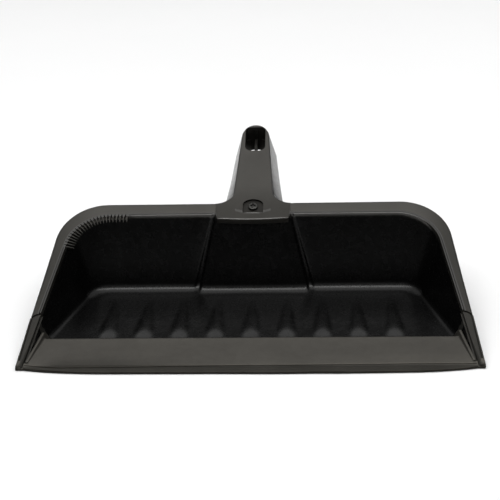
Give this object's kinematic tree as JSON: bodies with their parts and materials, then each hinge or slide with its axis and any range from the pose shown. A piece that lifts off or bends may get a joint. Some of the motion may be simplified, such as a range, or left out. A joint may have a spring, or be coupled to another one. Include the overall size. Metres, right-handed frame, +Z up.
{
  "type": "hand dust pan",
  "caption": "Wide hand dust pan with a soft ramped front lip, a ribbed floor, a comb in one back corner and a channel handle with a hang slot.",
  "frame": {"origin": "centre of the bounding box's base, on the surface the pan stands on", "axes": "+X to the right seen from the open front, +Y from the lip towards the handle, +Z up"},
  "size_m": [0.3112, 0.2144, 0.0889],
  "materials": {
    "pan_plastic": "charcoal polypropylene with a fine moulded grain, smoother inside the tub",
    "lip_rubber": "soft dark grey thermoplastic rubber, satin",
    "handle_plastic": "charcoal polypropylene, satin",
    "screw_steel": "dark steel, black oxide"
  },
  "bodies": {
    "root": {"pan_body": "pan_plastic", "front_lip": "lip_rubber", "handle": "handle_plastic", "handle_screw": "screw_steel"}
  },
  "joints": []
}
